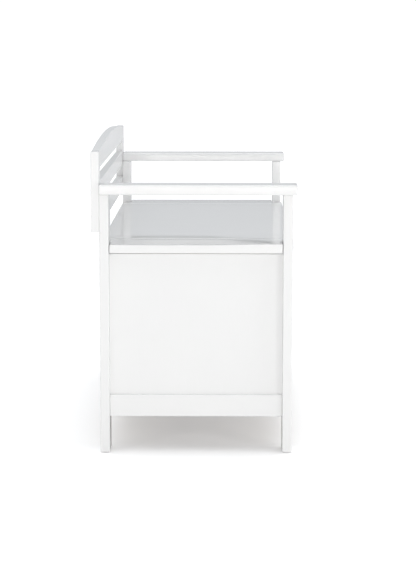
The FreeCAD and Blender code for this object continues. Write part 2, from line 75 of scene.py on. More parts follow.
def math_node(tree, operation, first, second, third=None):
    """A math node; each operand is a number or an output to link."""
    node = add_node(tree, "Math")
    node.operation = operation
    for socket, value in zip(node.inputs, (first, second, third)):
        if isinstance(value, bpy.types.NodeSocket):
            tree.links.new(value, socket)
        elif value is not None:
            socket.default_value = value
    return node.outputs[0]


def map_range(tree, value, low, high, from_low=0.0, from_high=1.0, smooth=False):
    """Bring a value that lies between from_low and from_high to between low and high."""
    node = add_node(tree, "MapRange", From_Min=from_low, From_Max=from_high, To_Min=low, To_Max=high)
    node.interpolation_type = "SMOOTHSTEP" if smooth else "LINEAR"
    tree.links.new(value, node.inputs["Value"])
    return node.outputs["Result"]


def object_coordinates(tree, scale=(1.0, 1.0, 1.0)):
    """Coordinates on the piece itself, in metres, stretched by scale."""
    mapping = add_node(tree, "Mapping", Scale=scale)
    tree.links.new(add_node(tree, "TexCoord").outputs["Object"], mapping.inputs["Vector"])
    return mapping.outputs["Vector"]


def grain_coordinates(tree, axis, lengthwise, across):
    """Coordinates for a pattern that is drawn out along one axis."""
    return object_coordinates(tree, tuple(lengthwise if i == axis else across for i in range(3)))


def noise_texture(tree, vector, scale, detail=2.0, roughness=0.5, distortion=0.0):
    """Noise with about scale bumps to a metre."""
    texture = add_node(tree, "TexNoise", Scale=scale, Detail=detail, Roughness=roughness,
                       Distortion=distortion)
    tree.links.new(vector, texture.inputs["Vector"])
    return texture.outputs["Fac"]


def ramp(tree, value, *stops):
    """A colour for each value, from (position, colour) stops."""
    node = add_node(tree, "ValToRGB")
    elements = node.color_ramp.elements
    while len(elements) < len(stops):
        elements.new(0.5)
    for element, (position, color) in zip(elements, stops):
        element.position = position
        element.color = (*color, 1.0)
    tree.links.new(value, node.inputs["Fac"])
    return node.outputs["Color"]


def bump(tree, height, distance, strength, normal=None):
    """Relief of a given depth, on top of another one if that is given."""
    node = add_node(tree, "Bump", Distance=distance, Strength=strength)
    tree.links.new(height, node.inputs["Height"])
    if normal is not None:
        tree.links.new(normal, node.inputs["Normal"])
    return node.outputs["Normal"]


def principled(name, **inputs):
    """A material with one Principled shader: the material, its node tree and the shader."""
    material, tree, output = new_material(name)
    shader = add_node(tree, "BsdfPrincipled", **inputs)
    tree.links.new(shader.outputs[0], output.inputs["Surface"])
    return material, tree, shader


def dress(tree, shader, color, roughness, normal):
    """Link what varies over the surface."""
    for socket, value in (("Base Color", color), ("Roughness", roughness), ("Normal", normal)):
        tree.links.new(value, shader.inputs[socket])


# ---------------------------------------------------------------- camera and stage

CAMERA_DISTANCE, CAMERA_ASIDE, CAMERA_HEIGHT = 4.144, 0.0635, 0.9633
CAMERA_PITCH, CAMERA_YAW, CAMERA_ROLL = math.radians(7.92), math.radians(0.51), math.radians(0.04)
SENSOR, LENS = 36.0, 120.9
CLIP_END = 200.0


def make_camera():
    """A long lens beyond the left end of the bench, a little above it, looking along +X."""
    data = bpy.data.cameras.new("camera")
    data.sensor_width = SENSOR
    data.lens = LENS
    data.clip_end = CLIP_END
    camera = bpy.data.objects.new("camera", data)
    bpy.context.scene.collection.objects.link(camera)
    front_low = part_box("leg_front_left")[0]
    rear_low, rear_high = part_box("leg_rear_left")
    place = Vector((rear_low.x - CAMERA_DISTANCE, (front_low.y + rear_high.y) / 2 - CAMERA_ASIDE,
                    CAMERA_HEIGHT))
    look_along_x = Matrix.Rotation(-QUARTER, 4, "Z") @ Matrix.Rotation(QUARTER, 4, "X")
    aim = (Matrix.Rotation(CAMERA_YAW, 4, "Z") @ look_along_x
           @ Matrix.Rotation(-CAMERA_PITCH, 4, "X") @ Matrix.Rotation(CAMERA_ROLL, 4, "Z"))
    camera.matrix_world = Matrix.Translation(place) @ aim
    bpy.context.scene.camera = camera


WHITE = (1, 1, 1, 1)
FLOOR_HALF = 60.0
FLOOR_GLOW = 0.33
FLOOR_ALBEDO = (0.90, 0.895, 0.89, 1)


def make_floor():
    """A pale floor, white where nothing shades it.

    Its glow is for the camera only, so it lights nothing.
    """
    mesh = bpy.data.meshes.new("floor")
    bm = bmesh.new()
    bmesh.ops.create_grid(bm, x_segments=1, y_segments=1, size=FLOOR_HALF)
    bm.to_mesh(mesh)
    bm.free()
    floor = bpy.data.objects.new("floor", mesh)
    bpy.context.scene.collection.objects.link(floor)
    material, tree, output = new_material("studio_floor")
    diffuse = add_node(tree, "BsdfDiffuse", Color=FLOOR_ALBEDO)
    glow = add_node(tree, "Emission", Color=WHITE)
    path = add_node(tree, "LightPath")
    tree.links.new(math_node(tree, "MULTIPLY", path.outputs["Is Camera Ray"], FLOOR_GLOW),
                   glow.inputs["Strength"])
    total = add_node(tree, "AddShader")
    tree.links.new(diffuse.outputs[0], total.inputs[0])
    tree.links.new(glow.outputs[0], total.inputs[1])
    tree.links.new(total.outputs[0], output.inputs["Surface"])
    mesh.materials.append(material)


STUDIO_FRONT, STUDIO_BACK, STUDIO_TOP = 0.20, 0.63, 1.84
STUDIO_TOP_FOCUS = 4.0
STUDIO_TINT = (0.955, 0.975, 1.0, 1)
PAPER_WHITE = 1.05


def make_world():
    """A soft studio: bright overhead, dim at the camera's end, brighter beyond the far end.

    The camera itself sees white paper behind the bench.
    """
    world = bpy.data.worlds.new("studio")
    world.use_nodes = True
    bpy.context.scene.world = world
    tree = world.node_tree
    tree.nodes.clear()
    output = add_node(tree, "OutputWorld")
    direction = add_node(tree, "SeparateXYZ")
    tree.links.new(add_node(tree, "TexCoord").outputs["Generated"], direction.inputs[0])
    sides = map_range(tree, direction.outputs["X"], STUDIO_FRONT, STUDIO_BACK, -1.0, 1.0, smooth=True)
    height = math_node(tree, "POWER", math_node(tree, "MAXIMUM", direction.outputs["Z"], 0.0),
                       STUDIO_TOP_FOCUS)
    above = math_node(tree, "MULTIPLY", height, STUDIO_TOP)
    beside = math_node(tree, "MULTIPLY", math_node(tree, "SUBTRACT", 1.0, height), sides)
    studio = add_node(tree, "Background", Color=STUDIO_TINT)
    tree.links.new(math_node(tree, "ADD", above, beside), studio.inputs["Strength"])
    paper = add_node(tree, "Background", Color=WHITE, Strength=PAPER_WHITE)
    mix = add_node(tree, "MixShader")
    tree.links.new(add_node(tree, "LightPath").outputs["Is Camera Ray"], mix.inputs[0])
    tree.links.new(studio.outputs[0], mix.inputs[1])
    tree.links.new(paper.outputs[0], mix.inputs[2])
    tree.links.new(mix.outputs[0], output.inputs["Surface"])


NEAR_END, SEAT_MIDDLE = (-0.5, 0.0, 0.3), (0.0, 0.0, 0.4)
NEUTRAL, WARM = (1.0, 1.0, 1.0), (1.0, 0.98, 0.945)
# name, place, target, size, watts, colour, whether reflections show it
SOFTBOXES = (
    ("key_from_front", (-3.6, -2.7, 1.3), NEAR_END, 0.5, 16.0, NEUTRAL, True),
    ("fill_from_back", (-3.6, 2.6, 1.3), NEAR_END, 0.5, 9.0, NEUTRAL, True),
    ("front_light", (-8.5, 0.0, 0.9), NEAR_END, 2.0, 214.0, WARM, False),
    ("side_light", (-1.5, -5.0, 1.1), SEAT_MIDDLE, 2.0, 50.0, NEUTRAL, False),
)


def softbox(name, place, target, size, watts, color, in_reflections):
    """A square light at a place, aimed at a target."""
    light = bpy.data.lights.new(name, "AREA")
    light.shape = "SQUARE"
    light.size = size
    light.energy = watts
    light.color = color
    box = bpy.data.objects.new(name, light)
    bpy.context.scene.collection.objects.link(box)
    box.location = place
    box.rotation_euler = (Vector(target) - Vector(place)).to_track_quat("-Z", "Y").to_euler()
    box.visible_glossy = in_reflections


make_camera()
make_floor()
make_world()
for settings in SOFTBOXES:
    softbox(*settings)
bpy.context.scene.view_settings.view_transform = "Standard"

# ---------------------------------------------------------------- materials

# Painted shade: the greys given to undersides, standing in for the shade under a piece.
UNDERSIDE_SHADE_DARK, UNDERSIDE_SHADE_LIGHT = (0.42, 0.42, 0.415), (0.50, 0.50, 0.495)


def painted_underside_shade(name):
    """The underside of an arm: painted shade, a dull grey without the gloss, standing in for the shade
    under the arm.
    """
    material, tree, shader = principled(name, Specular_IOR_Level=0.2)
    speckle = noise_texture(tree, object_coordinates(tree), scale=160.0, detail=3.0)
    dress(tree, shader,
          color=ramp(tree, speckle, (0.3, UNDERSIDE_SHADE_DARK), (0.7, UNDERSIDE_SHADE_LIGHT)),
          roughness=map_range(tree, speckle, 0.7, 0.9),
          normal=bump(tree, speckle, distance=0.04 * MM, strength=0.5))
    return material


LACQUER_DEEP, LACQUER_LIGHT = (0.815, 0.815, 0.814), (0.845, 0.845, 0.842)
LACQUER_SPREAD = 0.06
GRAIN_SHARE, CLOUD_SHARE = 0.35, 0.65


def lacquered_wood(name, axis, base_roughness=0.42, coat=0.55, coat_roughness=0.07):
    """White lacquer over wood: the grain shows faintly through the paint, under a clear gloss."""
    material, tree, shader = principled(name, IOR=1.5, Specular_IOR_Level=0.35, Coat_Weight=coat,
                                        Coat_Roughness=coat_roughness, Coat_IOR=1.5)
    even = object_coordinates(tree)
    cloud = noise_texture(tree, even, scale=5.0, detail=3.0)
    grain = noise_texture(tree, grain_coordinates(tree, axis, 1.0, 14.0), scale=22.0, detail=5.0,
                          roughness=0.6, distortion=0.25)
    fine = noise_texture(tree, even, scale=55.0)
    peel = noise_texture(tree, even, scale=420.0, detail=1.0)
    tone = math_node(tree, "MULTIPLY_ADD", grain, GRAIN_SHARE, map_range(tree, cloud, 0.0, CLOUD_SHARE))
    relief = bump(tree, grain, distance=0.06 * MM, strength=0.6)
    dress(tree, shader,
          color=ramp(tree, tone, (0.2, LACQUER_DEEP), (0.8, LACQUER_LIGHT)),
          roughness=map_range(tree, fine, base_roughness - LACQUER_SPREAD,
                              base_roughness + LACQUER_SPREAD),
          normal=bump(tree, peel, distance=0.012 * MM, strength=0.6, normal=relief))
    return material


WOOD_BANDS = ((0.32, (0.50, 0.33, 0.17)), (0.47, (0.66, 0.48, 0.28)),
              (0.60, (0.74, 0.58, 0.38)), (0.72, (0.60, 0.42, 0.24)))


def bare_wood(name, axis):
    """Planed softwood, unpainted: long growth bands with fine pores."""
    material, tree, shader = principled(name, Specular_IOR_Level=0.3)
    bands = noise_texture(tree, grain_coordinates(tree, axis, 1.0, 16.0), scale=9.0, detail=4.0,
                          roughness=0.55, distortion=0.8)
    pores = noise_texture(tree, grain_coordinates(tree, axis, 6.0, 160.0), scale=4.0, detail=3.0)
    dress(tree, shader,
          color=ramp(tree, bands, *WOOD_BANDS),
          roughness=map_range(tree, pores, 0.45, 0.70),
          normal=bump(tree, pores, distance=0.1 * MM, strength=0.5))
    return material


FIBRE_DARK, FIBRE_LIGHT = (0.34, 0.31, 0.295), (0.46, 0.425, 0.41)
FIBRE_SHARE, PATCH_SHARE = 0.6, 0.4


def hardboard(name):
    """Grey-brown pressed board, as used for box floors: short fibres in every direction."""
    material, tree, shader = principled(name, Specular_IOR_Level=0.25)
    even = object_coordinates(tree)
    fibres = noise_texture(tree, even, scale=210.0, detail=5.0, roughness=0.7, distortion=0.6)
    patches = noise_texture(tree, even, scale=14.0, detail=3.0)
    tone = math_node(tree, "MULTIPLY_ADD", fibres, FIBRE_SHARE,
                     map_range(tree, patches, 0.0, PATCH_SHARE))
    dress(tree, shader,
          color=ramp(tree, tone, (0.3, FIBRE_DARK), (0.7, FIBRE_LIGHT)),
          roughness=map_range(tree, fibres, 0.6, 0.85),
          normal=bump(tree, fibres, distance=0.12 * MM, strength=0.5))
    return material


ZINC_DULL, ZINC_BRIGHT = (0.52, 0.52, 0.53), (0.68, 0.68, 0.70)


def plated_steel(name):
    """Zinc-plated steel with a fine rolled grain and a few duller patches."""
    material, tree, shader = principled(name, Metallic=1.0)
    patches = noise_texture(tree, object_coordinates(tree), scale=260.0, detail=3.0)
    rolled = noise_texture(tree, grain_coordinates(tree, X, 1.0, 30.0), scale=120.0, detail=3.0)
    dress(tree, shader,
          color=ramp(tree, patches, (0.35, ZINC_DULL), (0.65, ZINC_BRIGHT)),
          roughness=map_range(tree, rolled, 0.22, 0.42),
          normal=bump(tree, rolled, distance=0.02 * MM, strength=0.5))
    return material


PLASTIC_SHADE = 0.93
PLASTIC_SPREAD = 0.08


def moulded_plastic(name, color, roughness, softness=0.0):
    """Plastic or soft rubber with a fine moulded speckle; softness lets some light through."""
    material, tree, shader = principled(name, Transmission_Weight=softness)
    speckle = noise_texture(tree, object_coordinates(tree), scale=900.0)
    shade = tuple(v * PLASTIC_SHADE for v in color)
    dress(tree, shader,
          color=ramp(tree, speckle, (0.3, shade), (0.7, color)),
          roughness=map_range(tree, speckle, roughness - PLASTIC_SPREAD, roughness + PLASTIC_SPREAD),
          normal=bump(tree, speckle, distance=0.03 * MM, strength=0.6))
    return material


lacquer = {axis: lacquered_wood("lacquer_grain_" + AXIS_NAMES[axis], axis) for axis in (X, Y, Z)}
seat_lacquer = {axis: lacquered_wood("seat_lacquer_" + AXIS_NAMES[axis], axis, base_roughness=0.36,
                                     coat=1.0, coat_roughness=0.03) for axis in (X, Y)}
arm_lacquer = lacquered_wood("arm_lacquer", Y, coat=0.8, coat_roughness=0.05)
# Painted shade for the arms' undersides.
arm_underside_shade = painted_underside_shade("arm_underside_shade")
raw_wood = {axis: bare_wood("bare_wood_" + AXIS_NAMES[axis], axis) for axis in (X, Y, Z)}
floor_board = hardboard("pressed_board")
steel = plated_steel("plated_steel")
glide_plastic = moulded_plastic("glide_plastic", (0.72, 0.72, 0.71), 0.45)
bumper_rubber = moulded_plastic("bumper_rubber", (0.80, 0.80, 0.79), 0.35, softness=0.35)

# ---------------------------------------------------------------- mesh tools

SHARP = math.radians(40)
STRAIGHT = 0.999
CUT_TOLERANCE = 1e-6


def outline_box(low, high):
    return [(low[0], low[1]), (high[0], low[1]), (high[0], high[1]), (low[0], high[1])]


def to_space(axis, u, v, w):
    """A point of an outline (u, v) at height w along the extrusion axis."""
    if axis == Z:
        return Vector((u, v, w))
    if axis == Y:
        return Vector((u, w, v))
    return Vector((w, u, v))


def extrude_outline(outline, axis, low, high):
    """A closed prism over a flat outline."""
    bm = bmesh.new()
    bottom = [bm.verts.new(to_space(axis, u, v, low)) for u, v in outline]
    top = [bm.verts.new(to_space(axis, u, v, high)) for u, v in outline]
    bm.faces.new(bottom)
    bm.faces.new(list(reversed(top)))
    count = len(outline)
    for i in range(count):
        j = (i + 1) % count
        bm.faces.new((bottom[j], bottom[i], top[i], top[j]))
    bmesh.ops.recalc_face_normals(bm, faces=bm.faces)
    return bm


def box_mesh(low, high):
    return extrude_outline(outline_box(low, high), Z, low[Z], high[Z])


def along(edge, axis):
    """Whether an edge runs along an axis."""
    step = edge.verts[1].co - edge.verts[0].co
    return abs(step[axis]) > STRAIGHT * step.length


def round_over(bm, radius, segments=4, keep=None):
    """Round every sharp edge, or those that keep(edge) says."""
    edges = [e for e in bm.edges if len(e.link_faces) == 2 and e.calc_face_angle() > SHARP
             and (keep is None or keep(e))]
    bmesh.ops.bevel(bm, geom=edges, offset=radius, offset_type="OFFSET", segments=segments,
                    profile=0.5, affect="EDGES", clamp_overlap=True)


def add_loops(bm, axis, step):
    """Cut the mesh across an axis at even steps, so that it can bend."""
    low = min(v.co[axis] for v in bm.verts)
    high = max(v.co[axis] for v in bm.verts)
    count = max(1, int((high - low) / step))
    normal = Vector([1.0 if i == axis else 0.0 for i in range(3)])
    for i in range(1, count):
        place = normal * (low + (high - low) * i / count)
        bmesh.ops.bisect_plane(bm, geom=bm.verts[:] + bm.edges[:] + bm.faces[:], dist=CUT_TOLERANCE,
                               plane_co=place, plane_no=normal)


# How far apart two seeds, and the directions of one board, lie in the noise.
SEED_STEP = (7.3, 3.1, 5.7)
AXIS_STEP = (11.0, 5.0, 3.0)


def wander(bm, amount, length, seed, directions):
    """Real boards are never quite flat: move the surface by smooth noise, inside its own box."""
    low = Vector([min(v.co[i] for v in bm.verts) for i in range(3)])
    high = Vector([max(v.co[i] for v in bm.verts) for i in range(3)])
    start = Vector([seed * step for step in SEED_STEP])
    for vert in bm.verts:
        spot = vert.co / length + start
        for i in directions:
            vert.co[i] += amount * noise.noise(spot + Vector([i * step for step in AXIS_STEP]))
    for vert in bm.verts:
        for i in range(3):
            vert.co[i] = min(max(vert.co[i], low[i]), high[i])


ON_AXIS = 1e-9


def lathe(profile, segments=32):
    """A closed solid of revolution about +Z from (radius, height) points on the axis at both ends."""
    bm = bmesh.new()
    rings = []
    for radius, height in profile:
        if radius < ON_AXIS:
            rings.append([bm.verts.new((0, 0, height))])
        else:
            rings.append([bm.verts.new((radius * math.cos(2 * math.pi * i / segments),
                                        radius * math.sin(2 * math.pi * i / segments), height))
                          for i in range(segments)])
    for lower, upper in zip(rings, rings[1:]):
        for i in range(segments):
            j = (i + 1) % segments
            corners = [lower[i % len(lower)], lower[j % len(lower)],
                       upper[j % len(upper)], upper[i % len(upper)]]
            unique = list(dict.fromkeys(corners))
            if len(unique) >= 3:
                bm.faces.new(unique)
    bmesh.ops.recalc_face_normals(bm, faces=bm.faces)
    return bm


def as_mesh(bm, name):
    """Mesh data from bm, which is used up."""
    mesh = bpy.data.meshes.new(name)
    bm.to_mesh(mesh)
    bm.free()
    return mesh


def as_object(mesh, name):
    """An object in the scene with this mesh data."""
    item = bpy.data.objects.new(name, mesh)
    bpy.context.scene.collection.objects.link(item)
    return item


def moved(bm, matrix):
    bmesh.ops.transform(bm, matrix=matrix, verts=bm.verts)
    return bm


def copies(bm, matrices):
    """One mesh with a copy of bm at each matrix."""
    part = as_mesh(bm, "part")
    out = bmesh.new()
    for matrix in matrices:
        start = len(out.verts)
        out.from_mesh(part)
        out.verts.ensure_lookup_table()
        bmesh.ops.transform(out, matrix=matrix, verts=out.verts[start:])
    bpy.data.meshes.remove(part)
    return out


def joined(parts):
    """One mesh from several that don't touch."""
    out = bmesh.new()
    for part in parts:
        mesh = as_mesh(part, "part")
        out.from_mesh(mesh)
        bpy.data.meshes.remove(mesh)
    return out


def cut_with(bm, cutter):
    """Take a closed cutter mesh away from bm, and give back the result."""
    host = as_object(as_mesh(bm, "host"), "host")
    tool = as_object(as_mesh(cutter, "tool"), "tool")
    cut = host.modifiers.new("cut", "BOOLEAN")
    cut.operation = "DIFFERENCE"
    cut.solver = "EXACT"
    cut.object = tool
    solid = host.evaluated_get(bpy.context.evaluated_depsgraph_get())
    result = bpy.data.meshes.new_from_object(solid)
    out = bmesh.new()
    out.from_mesh(result)
    bpy.data.meshes.remove(result)
    for item in (host, tool):
        mesh = item.data
        bpy.data.objects.remove(item)
        bpy.data.meshes.remove(mesh)
    return out


UNDERSIDE_NORMAL = -0.95
SHADING_WEIGHT = 60


def finish_mesh(bm, name, node, material, body, underside=None):
    """Make the object, give it its finish, and let it ride and replace its CAD node."""
    for edge in bm.edges:
        edge.smooth = not (len(edge.link_faces) == 2 and edge.calc_face_angle(0.0) > SHARP)
    for face in bm.faces:
        face.smooth = True
        # Faces that point down get the second material, which paints the shade under the piece.
        face.material_index = 1 if underside and face.normal.z < UNDERSIDE_NORMAL else 0
    mesh = as_mesh(bm, name)
    mesh.materials.append(material)
    if underside:
        mesh.materials.append(underside)
    piece = as_object(mesh, name)
    weighted = piece.modifiers.new("even_shading", "WEIGHTED_NORMAL")
    weighted.keep_sharp = True
    weighted.weight = SHADING_WEIGHT
    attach(piece, body)
    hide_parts(node)


BEND_STEP = 0.03
WAVE_LENGTH = 0.35
BOARD_WARP, RAIL_WARP, PANEL_WARP = 0.25 * MM, 0.3 * MM, 0.5 * MM
LEG_ROUND, ARM_ROUND, RAIL_ROUND, PANEL_ROUND = 1.8 * MM, 3.0 * MM, 1.6 * MM, 0.6 * MM


def board(node, grain, radius, material, seed, body=BENCH, warp=BOARD_WARP,
          cutters=(), underside=None):
    """A planed and rounded board in the place of a CAD node; each has its own seed."""
    low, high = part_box(node)
    bm = box_mesh(low, high)
    round_over(bm, radius)
    add_loops(bm, grain, BEND_STEP)
    wander(bm, warp, WAVE_LENGTH, seed, directions=[i for i in range(3) if i != grain])
    if cutters:
        bm = cut_with(bm, joined(cutters))
    finish_mesh(bm, node + "_board", node, material, body, underside)


# ---------------------------------------------------------------- legs, arms and back

for index, side in enumerate(SIDES):
    for step, end in enumerate(ENDS):
        board("leg_%s_%s" % (end, side), Z, LEG_ROUND, lacquer[Z], seed=1 + index * 2 + step)
    # Each arm's underside gets painted shade.
    board("arm_" + side, Y, ARM_ROUND, arm_lacquer, seed=11 + index, underside=arm_underside_shade)

AIM_BACK = Matrix.Rotation(-QUARTER, 4, "X")
DISC_SEGMENTS = 40
BOLT_HEAD_RADIUS, BOLT_HEAD_THICK = 6 * MM, 3 * MM
BOLT_SINK = 0.2 * MM
# How far each point of the eased rim of a bolt head lies inside its edge, and under its face.
BOLT_EASE = ((0, 0.7 * MM), (0.25 * MM, 0.25 * MM), (0.8 * MM, 0))
SHANK_RADIUS, SHANK_LENGTH = 3 * MM, 22 * MM
SOCKET_RADIUS, SOCKET_DEPTH, SOCKET_SIDES = 2.3 * MM, 2.2 * MM, 6
CUT_BEYOND = 1 * MM
POCKET_PLAY, POCKET_BEYOND = 0.4 * MM, 0.4 * MM
CHAMFER_OUT, CHAMFER_DEPTH = 1.2 * MM, 0.6 * MM


def bolt_places(side):
    """Middles of the bolt heads in a stile, on the rear face."""
    low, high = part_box("back_stile_" + side)
    bolts_low, bolts_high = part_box("back_frame_bolts")
    heights = (bolts_low.z + BOLT_HEAD_RADIUS, bolts_high.z - BOLT_HEAD_RADIUS)
    return [Vector(((low.x + high.x) / 2, high.y, z)) for z in heights]


def head_pocket(place):
    """A cutter for the chamfered pocket of one sunk bolt head, open to the rear."""
    depth = BOLT_HEAD_THICK + BOLT_SINK
    radius = BOLT_HEAD_RADIUS + POCKET_PLAY
    profile = ((0, -depth), (radius, -depth), (radius, -CHAMFER_DEPTH),
               (BOLT_HEAD_RADIUS + CHAMFER_OUT, POCKET_BEYOND), (0, POCKET_BEYOND))
    return moved(lathe(profile, DISC_SEGMENTS), Matrix.Translation(place) @ AIM_BACK)


def socket_bolt():
    """A flat bolt head with a hexagon socket and a plain shank, standing along +Z under z = 0."""
    r, t = BOLT_HEAD_RADIUS, BOLT_HEAD_THICK
    rim = [(r - inward, -down) for inward, down in BOLT_EASE]
    bolt = lathe(((0, -SHANK_LENGTH), (SHANK_RADIUS, -SHANK_LENGTH), (SHANK_RADIUS, -t), (r, -t),
                  *rim, (0, 0)), DISC_SEGMENTS)
    socket = lathe(((0, -SOCKET_DEPTH), (SOCKET_RADIUS, -SOCKET_DEPTH), (SOCKET_RADIUS, CUT_BEYOND),
                    (0, CUT_BEYOND)), SOCKET_SIDES)
    return cut_with(bolt, socket)


def straight_back_rail(node, seed):
    """A rail between the stiles: its ends butt against them, so only its long edges are rounded."""
    low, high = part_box(node)
    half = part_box("back_stile_right")[0].x
    bm = box_mesh((-half, low.y, low.z), (half, high.y, high.z))
    round_over(bm, RAIL_ROUND, keep=lambda edge: along(edge, X))
    add_loops(bm, X, BEND_STEP)
    wander(bm, RAIL_WARP, WAVE_LENGTH, seed, directions=(Y, Z))
    finish_mesh(bm, node + "_board", node, lacquer[X], BENCH)


ARCH_STEPS = 64
ARCH_WAVE_LENGTH = 0.4


def arched_rail(node, seed):
    """The top rail: a straight lower edge under one shallow circular arc."""
    low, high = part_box(node)
    stile_low, stile_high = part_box("back_stile_right")
    half = stile_low.x
    rise = high.z - stile_high.z
    radius = (half * half + rise * rise) / (2 * rise)
    centre = high.z - radius
    outline = [(-half, low.z), (half, low.z)]
    for i in range(ARCH_STEPS + 1):
        x = half - 2 * half * i / ARCH_STEPS
        outline.append((x, centre + math.sqrt(radius * radius - x * x)))
    bm = extrude_outline(outline, Y, low.y, high.y)
    round_over(bm, RAIL_ROUND, keep=lambda edge: not (along(edge, Y) or along(edge, Z)))
    wander(bm, RAIL_WARP, ARCH_WAVE_LENGTH, seed, directions=(Y,))
    finish_mesh(bm, node + "_board", node, lacquer[X], BENCH)


for index, side in enumerate(SIDES):
    board("back_stile_" + side, Z, RAIL_ROUND, lacquer[Z], seed=21 + index,
          cutters=[head_pocket(place) for place in bolt_places(side)])
straight_back_rail("back_bottom_rail", seed=31)
straight_back_rail("back_middle_rail", seed=32)
arched_rail("back_top_rail", seed=37)
bolt_matrices = [Matrix.Translation(place - Vector((0, BOLT_SINK, 0))) @ AIM_BACK
                 for side in SIDES for place in bolt_places(side)]
finish_mesh(copies(socket_bolt(), bolt_matrices), "back_bolts_detailed", "back_frame_bolts",
            steel, BENCH)

# ---------------------------------------------------------------- box

for index, side in enumerate(SIDES):
    board("side_panel_" + side, Z, PANEL_ROUND, lacquer[Z], seed=41 + index, warp=PANEL_WARP)
    board("side_bottom_rail_" + side, Y, RAIL_ROUND, lacquer[Y], seed=43 + index)
    board("side_top_cleat_" + side, Y, PANEL_ROUND, raw_wood[Y], seed=45 + index)
    board("front_panel_" + side, Z, PANEL_ROUND, lacquer[Z], seed=47 + index, warp=PANEL_WARP)
for index, node in enumerate(("front_bottom_rail", "front_top_rail", "box_back_bottom_rail",
                              "box_back_top_rail")):
    board(node, X, RAIL_ROUND, lacquer[X], seed=51 + index)
board("front_centre_stile", Z, RAIL_ROUND, lacquer[Z], seed=55)
board("box_back_panel", X, PANEL_ROUND, lacquer[X], seed=56, warp=PANEL_WARP)
board("box_floor", X, PANEL_ROUND, floor_board, seed=57, warp=RAIL_WARP)
for index, end in enumerate(ENDS):
    board("floor_cleat_" + end, X, PANEL_ROUND, raw_wood[X], seed=58 + index)

# ---------------------------------------------------------------- seat and lid

SEAT_ROUND, JOINT_ROUND, CORNER_ROUND, NOTCH_ROUND = 2.4 * MM, 0.5 * MM, 3 * MM, 1.5 * MM
CORNER_STEPS = 6
NOTCH_GAP = 1.2 * MM
SEAT_STEP = 0.02
SEAT_END = -0.53
# Slopes of the left end beyond DROOP_START, down along the rear and up along the front.
DROOP_START = 0.30
REAR_DROOP, FRONT_LIFT = 0.0055, 0.0048
TWIST_START, TWIST_END = 0.02, 0.20
LIFT_STEP, LIFT_SAMPLES = 0.01, 23
WAVE_DEPTH = 8 * MM


def rounded_outline(points, radii):
    """An outline with each corner rounded by its own radius."""
    out = []
    for i, (point, radius) in enumerate(zip(points, radii)):
        here = Vector(point)
        if radius <= 0:
            out.append(tuple(here))
            continue
        before = (Vector(points[i - 1]) - here).normalized()
        after = (Vector(points[(i + 1) % len(points)]) - here).normalized()
        centre = here + (before + after) * radius
        first = here + before * radius - centre
        last = here + after * radius - centre
        for k in range(CORNER_STEPS + 1):
            angle = k / CORNER_STEPS * math.pi / 2
            out.append(tuple(centre + (first * math.cos(angle) + last * math.sin(angle))))
    return out


def smooth_step(value, low, high):
    t = min(max((value - low) / (high - low), 0.0), 1.0)
    return t * t * (3 - 2 * t)


def seat_height(x, y):
    """The seat droops a little towards its left end, but lifts at the front corner there."""
    slope = REAR_DROOP - (REAR_DROOP + FRONT_LIFT) * smooth_step(-y, TWIST_START, TWIST_END)
    return -slope * max(0.0, -x - DROOP_START)


# The whole top is lowered by the height of its highest place, to stay inside the CAD box.
SEAT_TOP_LIFT = max(seat_height(SEAT_END, -LIFT_STEP * step) for step in range(LIFT_SAMPLES))


def seat_waves(bm):
    """The seat boards are very slightly uneven, which bends the reflections in them."""
    top = max(v.co.z for v in bm.verts)
    for vert in [v for v in bm.verts if v.co.z > top - WAVE_DEPTH]:
        vert.co.z += seat_height(vert.co.x, vert.co.y) - SEAT_TOP_LIFT


def finish_seat_board(bm, node, grain, body):
    """Bend a seat board and give it the glossy seat lacquer."""
    for axis in (X, Y):
        add_loops(bm, axis, SEAT_STEP)
    seat_waves(bm)
    finish_mesh(bm, node + "_board", node, seat_lacquer[grain], body)


def end_board(side):
    """A fixed end board, notched round the two legs, with its front corner eased."""
    node = "seat_end_" + side
    low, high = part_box(node)
    sign = 1 if side == "right" else -1
    inner, outer = sorted((abs(low.x), abs(high.x)))
    front_low, front_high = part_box("leg_front_right")
    notch_x = front_low.x - NOTCH_GAP
    front_y, rear_y = front_high.y + NOTCH_GAP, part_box("leg_rear_right")[0].y - NOTCH_GAP
    points = [(inner, low.y), (notch_x, low.y), (notch_x, front_y), (outer, front_y),
              (outer, rear_y), (notch_x, rear_y), (notch_x, high.y), (inner, high.y)]
    radii = [0, CORNER_ROUND] + [NOTCH_ROUND] * 5 + [0]
    outline = [(sign * x, y) for x, y in rounded_outline(points, radii)]
    bm = extrude_outline(outline, Z, low.z, high.z)
    round_over(bm, SEAT_ROUND / 2, segments=3, keep=lambda edge: not along(edge, Z))
    finish_seat_board(bm, node, Y, BENCH)


def lid_board():
    """The lid: one wide board between the end boards, with its front edges rounded most."""
    low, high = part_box("seat_lid")
    bm = box_mesh(low, high)
    round_over(bm, SEAT_ROUND, keep=lambda edge: along(edge, X) and min(v.co.y for v in edge.verts) < 0)
    round_over(bm, JOINT_ROUND, segments=2)
    finish_seat_board(bm, "seat_lid", X, LID)


for side in SIDES:
    end_board(side)
lid_board()
for index, side in enumerate(SIDES):
    board("lid_batten_" + side, Y, RAIL_ROUND, lacquer[Y], seed=61 + index, body=LID)

# ---------------------------------------------------------------- small parts

HINGE_PLACES = ("left", "middle", "right")
SCREW_RADIUS, SCREW_HEAD = 1.75 * MM, 3.4 * MM
SCREW_SEGMENTS = 28
